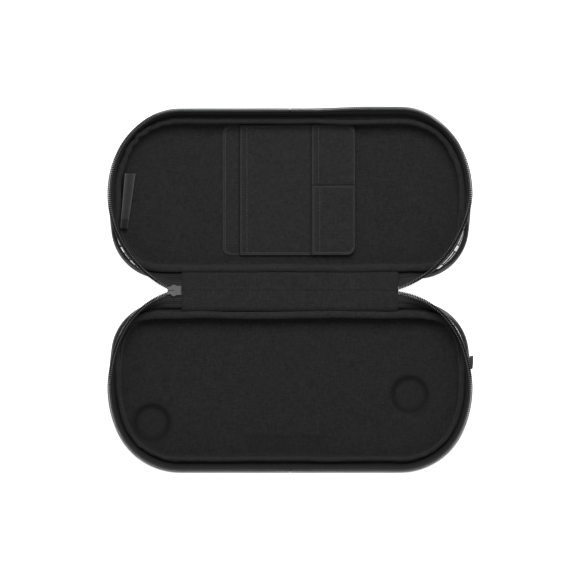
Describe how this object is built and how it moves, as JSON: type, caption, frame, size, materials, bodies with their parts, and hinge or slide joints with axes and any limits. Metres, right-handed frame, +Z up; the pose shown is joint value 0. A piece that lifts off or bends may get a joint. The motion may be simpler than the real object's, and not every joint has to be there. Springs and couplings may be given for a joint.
{
  "type": "handheld console carrying case",
  "caption": "Zip-round hard carrying case, open flat: two moulded trays with padded linings, card and cable pockets, and a fabric spine with its zip slider parked.",
  "frame": {"origin": "on the table under the middle of the hinge line, midway between the two trays", "axes": "+X to the right along the hinge, +Y from the base tray to the lid tray, +Z up out of both trays"},
  "size_m": [0.2995, 0.297, 0.0271],
  "materials": {
    "outer_cloth": "ribbed woven cloth moulded on a stiff foam shell",
    "lining_cloth": "charcoal brushed knit",
    "binding_cloth": "charcoal brushed knit round a soft bead",
    "gusset_cloth": "black woven cloth with a plain pale pattern",
    "zip_tape": "woven polyester tape",
    "zip_coil": "moulded nylon coil",
    "pocket_cloth": "charcoal brushed knit",
    "label_satin": "woven satin",
    "ribbon": "ribbed ribbon",
    "slider_metal": "dark grey satin enamel",
    "puller_metal": "dark grey satin enamel"
  },
  "bodies": {
    "base": {"base_shell": "outer_cloth", "base_lining": "lining_cloth", "base_seam_binding": "binding_cloth", "base_gusset": "gusset_cloth", "base_zip_tape": "zip_tape", "base_zip_coil": "zip_coil", "side_pull_tab": "ribbon"},
    "spine": {"spine_cover": "outer_cloth", "spine_lining": "lining_cloth", "base_tape_tail_left": "zip_tape", "lid_tape_tail_left": "zip_tape", "base_tape_tail_right": "zip_tape", "lid_tape_tail_right": "zip_tape", "base_coil_tail_left": "zip_coil", "lid_coil_tail_left": "zip_coil", "base_coil_tail_right": "zip_coil", "lid_coil_tail_right": "zip_coil", "zip_slider": "slider_metal"},
    "lid": {"lid_shell": "outer_cloth", "lid_lining": "lining_cloth", "lid_seam_binding": "binding_cloth", "lid_gusset": "gusset_cloth", "lid_zip_tape": "zip_tape", "lid_zip_coil": "zip_coil", "pocket_backing": "pocket_cloth", "cable_pocket": "pocket_cloth", "upper_card_pocket": "pocket_cloth", "lower_card_pocket": "pocket_cloth", "sewn_label": "label_satin"},
    "puller": {"zip_puller": "puller_metal"}
  },
  "joints": [
    {"name": "spine_fold", "type": "hinge", "parent": "base", "child": "spine", "pos_m": [0, -0.0137, 0.0135], "axis": [1, 0, 0], "range_deg": [0, 90]},
    {"name": "lid_fold", "type": "hinge", "parent": "spine", "child": "lid", "pos_m": [0, 0.0137, 0.0135], "axis": [1, 0, 0], "range_deg": [0, 90]},
    {"name": "puller_swing", "type": "hinge", "parent": "spine", "child": "puller", "pos_m": [-0.0948, 0, 0.0112], "axis": [0, 1, 0], "range_deg": [-22, 150]}
  ]
}
